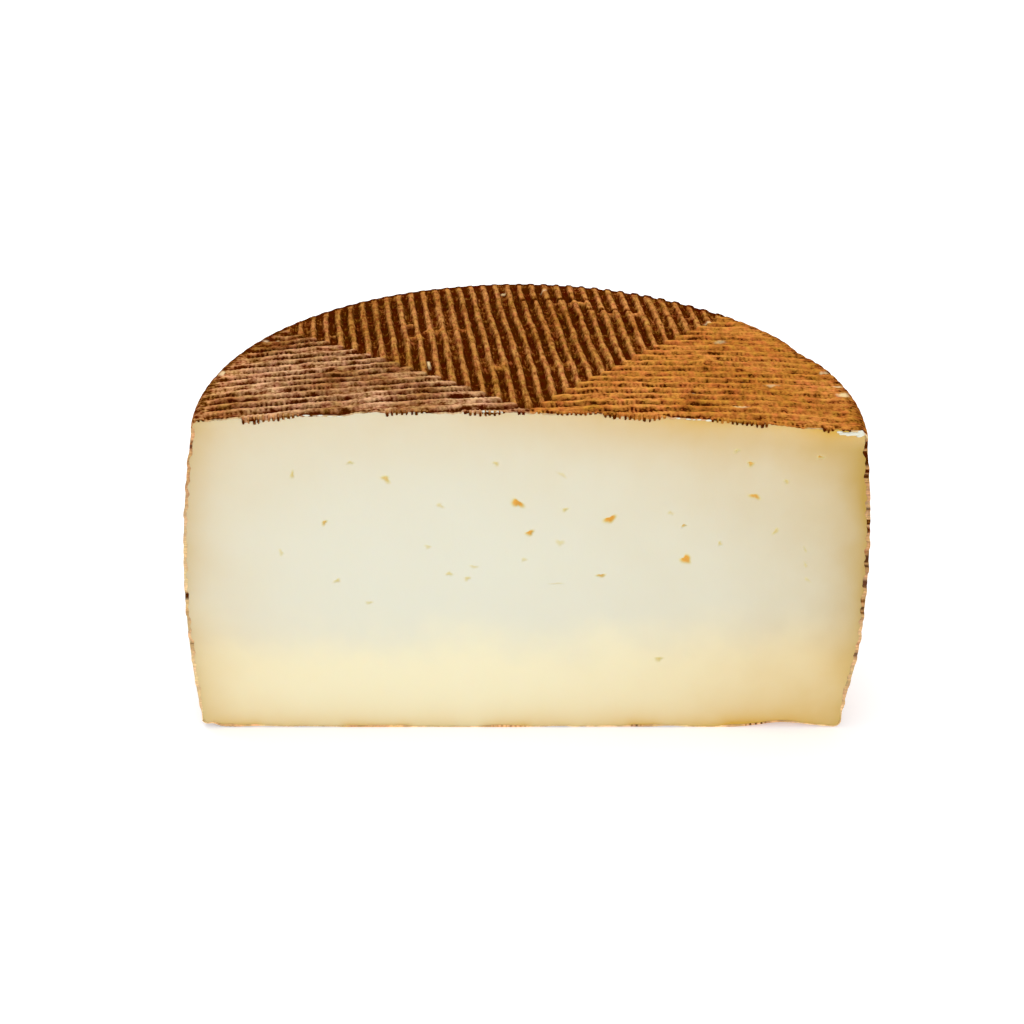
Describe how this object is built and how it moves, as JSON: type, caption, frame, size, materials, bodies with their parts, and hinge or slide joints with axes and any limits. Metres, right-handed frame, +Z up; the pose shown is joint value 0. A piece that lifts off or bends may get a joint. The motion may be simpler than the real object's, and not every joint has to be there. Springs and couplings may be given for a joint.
{
  "type": "half wheel of manchego cheese",
  "caption": "Half of a low barrel-shaped hard cheese wheel, cut face to the front, with mitred mould ridges on its flat faces and a plaited band round its side.",
  "frame": {"origin": "middle of the bounding box, on the surface that the base stands on", "axes": "+X to the right along the cut face, +Y from the cut face into the cheese, +Z up"},
  "size_m": [0.21, 0.1122, 0.1135],
  "materials": {
    "rind": "dry oiled cheese rind, golden brown on the ridges and dark brown in the grooves",
    "paste": "cut cheese paste, pale ivory and faintly translucent"
  },
  "bodies": {
    "root": {"half_wheel": "rind"}
  },
  "joints": []
}
